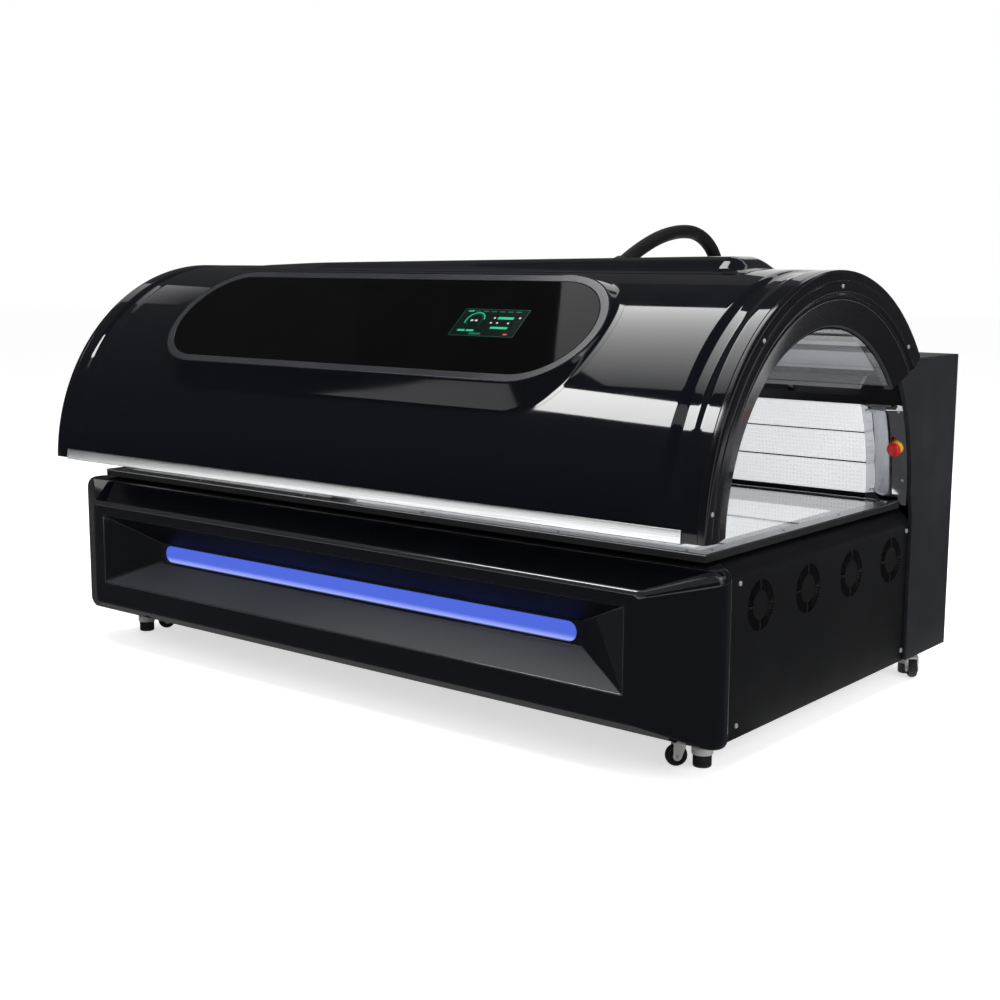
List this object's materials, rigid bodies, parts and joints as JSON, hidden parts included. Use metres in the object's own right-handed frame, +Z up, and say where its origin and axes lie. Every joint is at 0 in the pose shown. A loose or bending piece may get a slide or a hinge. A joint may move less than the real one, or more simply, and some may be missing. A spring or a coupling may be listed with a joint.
{
  "type": "light therapy bed",
  "caption": "Light therapy bed: gloss canopy lined with LED boards, hinged at the rear over a lit clear bed, on a wheeled base with a rear cabinet and a front light bar.",
  "frame": {"origin": "on the floor, under the middle of the object's length and depth", "axes": "+X along the bed to the end with the stop button, -Y to the front with the light bar, +Z up"},
  "size_m": [2.106, 1.3158, 1.1605],
  "materials": {
    "gloss_black": "polished",
    "satin_black": "satin",
    "ring_black": "semi-gloss",
    "cabinet_grey": "satin",
    "frame_steel": "satin",
    "aluminium": "satin",
    "mirror_steel": "mirror polished",
    "rim_steel": "brushed",
    "led_white": "matte",
    "clear_sheet": "clear, polished",
    "display_black": "polished",
    "screen_green": "polished",
    "light_blue": "lit, diffuse",
    "hose_black": "matte braid",
    "caster_grey": "matte",
    "rubber_black": "matte",
    "stop_red": "gloss",
    "stop_yellow": "gloss",
    "matte_black": "matte"
  },
  "bodies": {
    "base": {"floor_pan": "frame_steel", "front_beam": "frame_steel", "rear_frame": "frame_steel", "bed_deck": "matte_black", "bed_led_board": "led_white", "bed_clear_sheet": "clear_sheet", "bed_rim_front": "rim_steel", "bed_rim_right": "rim_steel", "bed_rim_left": "rim_steel", "front_fascia": "gloss_black", "light_bar": "light_blue", "end_panel_right": "satin_black", "end_panel_left": "satin_black", "fan_rack": "matte_black", "cabinet_end_right": "cabinet_grey", "cabinet_end_left": "cabinet_grey", "cabinet_cover": "cabinet_grey", "back_wall": "satin_black", "back_led_board": "led_white", "end_trim_right": "mirror_steel", "end_trim_left": "mirror_steel", "estop_collar": "stop_yellow", "power_supply": "aluminium", "power_inlet": "satin_black", "gas_spring_barrel_right": "satin_black", "gas_spring_barrel_left": "satin_black", "hose_socket": "matte_black", "flexible_hose": "hose_black"},
    "canopy": {"canopy_shell": "gloss_black", "canopy_end_ring_right": "ring_black", "canopy_end_ring_left": "ring_black", "canopy_clear_sheet": "clear_sheet", "canopy_led_tray": "led_white", "canopy_rear_rail": "matte_black", "grip_strip": "aluminium", "crown_housing": "gloss_black", "display_surround": "gloss_black", "display_glass": "display_black", "touch_screen": "screen_green", "hinge_arm_right": "frame_steel", "hinge_arm_left": "frame_steel"},
    "stop_head": {"estop_head": "stop_red"},
    "fan_1": {"fan_rotor_1": "matte_black"},
    "fan_2": {"fan_rotor_2": "matte_black"},
    "fan_3": {"fan_rotor_3": "matte_black"},
    "fan_4": {"fan_rotor_4": "matte_black"},
    "spring_rod_right": {"gas_spring_rod_right": "aluminium"},
    "spring_rod_left": {"gas_spring_rod_left": "aluminium"},
    "swivel_front_right": {"caster_body_front_right": "caster_grey"},
    "swivel_front_left": {"caster_body_front_left": "caster_grey"},
    "swivel_rear_right": {"caster_body_rear_right": "caster_grey"},
    "swivel_rear_left": {"caster_body_rear_left": "caster_grey"},
    "wheel_front_right": {"caster_wheel_front_right": "rubber_black"},
    "wheel_front_left": {"caster_wheel_front_left": "rubber_black"},
    "wheel_rear_right": {"caster_wheel_rear_right": "rubber_black"},
    "wheel_rear_left": {"caster_wheel_rear_left": "rubber_black"},
    "level_foot_front_right": {"caster_foot_front_right": "rubber_black"},
    "level_foot_front_left": {"caster_foot_front_left": "rubber_black"},
    "level_foot_rear_right": {"caster_foot_rear_right": "rubber_black"},
    "level_foot_rear_left": {"caster_foot_rear_left": "rubber_black"}
  },
  "joints": [
    {"name": "canopy_lift", "type": "hinge", "parent": "base", "child": "canopy", "pos_m": [0, 0.558, 0.74], "axis": [-1, 0, 0], "range_deg": [0, 45], "deforming": ["flexible_hose"]},
    {"name": "spring_right_slide", "type": "slide", "parent": "base", "child": "spring_rod_right", "axis": [0, 0, 1], "range_m": [0, 0.0919]},
    {"name": "spring_left_slide", "type": "slide", "parent": "base", "child": "spring_rod_left", "axis": [0, 0, 1], "range_m": [0, 0.0919]},
    {"name": "stop_press", "type": "slide", "parent": "base", "child": "stop_head", "axis": [0, 0.9755, 0.2198], "range_m": [0, 0.004], "stiffness_N_per_m": 2000},
    {"name": "fan_1_spin", "type": "hinge", "parent": "base", "child": "fan_1", "pos_m": [0.9845, -0.332, 0.34], "axis": [1, 0, 0], "continuous": true},
    {"name": "fan_2_spin", "type": "hinge", "parent": "base", "child": "fan_2", "pos_m": [0.9845, -0.1165, 0.34], "axis": [1, 0, 0], "continuous": true},
    {"name": "fan_3_spin", "type": "hinge", "parent": "base", "child": "fan_3", "pos_m": [0.9845, 0.099, 0.34], "axis": [1, 0, 0], "continuous": true},
    {"name": "fan_4_spin", "type": "hinge", "parent": "base", "child": "fan_4", "pos_m": [0.9845, 0.3145, 0.34], "axis": [1, 0, 0], "continuous": true},
    {"name": "swivel_front_right_turn", "type": "hinge", "parent": "base", "child": "swivel_front_right", "pos_m": [0.937, -0.451, 0.06], "axis": [0, 0, 1], "continuous": true},
    {"name": "swivel_front_left_turn", "type": "hinge", "parent": "base", "child": "swivel_front_left", "pos_m": [-0.937, -0.451, 0.06], "axis": [0, 0, 1], "continuous": true},
    {"name": "swivel_rear_right_turn", "type": "hinge", "parent": "base", "child": "swivel_rear_right", "pos_m": [0.955, 0.54, 0.06], "axis": [0, 0, 1], "continuous": true},
    {"name": "swivel_rear_left_turn", "type": "hinge", "parent": "base", "child": "swivel_rear_left", "pos_m": [-0.955, 0.54, 0.06], "axis": [0, 0, 1], "continuous": true},
    {"name": "wheel_front_right_roll", "type": "hinge", "parent": "swivel_front_right", "child": "wheel_front_right", "pos_m": [0.8967, -0.4913, 0.0265], "axis": [0.7071, -0.7071, 0], "continuous": true},
    {"name": "wheel_front_left_roll", "type": "hinge", "parent": "swivel_front_left", "child": "wheel_front_left", "pos_m": [-0.9085, -0.40164, 0.0265], "axis": [-0.866, 0.5, 0], "continuous": true},
    {"name": "wheel_rear_right_roll", "type": "hinge", "parent": "swivel_rear_right", "child": "wheel_rear_right", "pos_m": [0.99087, 0.4957, 0.0265], "axis": [0.7771, 0.6293, 0], "continuous": true},
    {"name": "wheel_rear_left_roll", "type": "hinge", "parent": "swivel_rear_left", "child": "wheel_rear_left", "pos_m": [-0.955, 0.483, 0.0265], "axis": [1, 0, 0], "continuous": true},
    {"name": "foot_front_right_screw", "type": "slide", "parent": "base", "child": "level_foot_front_right", "axis": [0, 0, 1], "range_m": [0, 0.01]},
    {"name": "foot_front_left_screw", "type": "slide", "parent": "base", "child": "level_foot_front_left", "axis": [0, 0, 1], "range_m": [0, 0.01]},
    {"name": "foot_rear_right_screw", "type": "slide", "parent": "base", "child": "level_foot_rear_right", "axis": [0, 0, 1], "range_m": [0, 0.01]},
    {"name": "foot_rear_left_screw", "type": "slide", "parent": "base", "child": "level_foot_rear_left", "axis": [0, 0, 1], "range_m": [0, 0.01]}
  ],
  "couplings": [
    {"joint": "spring_right_slide", "follows": "canopy_lift", "m_per_rad": 0.11694},
    {"joint": "spring_left_slide", "follows": "canopy_lift", "m_per_rad": 0.11694}
  ]
}
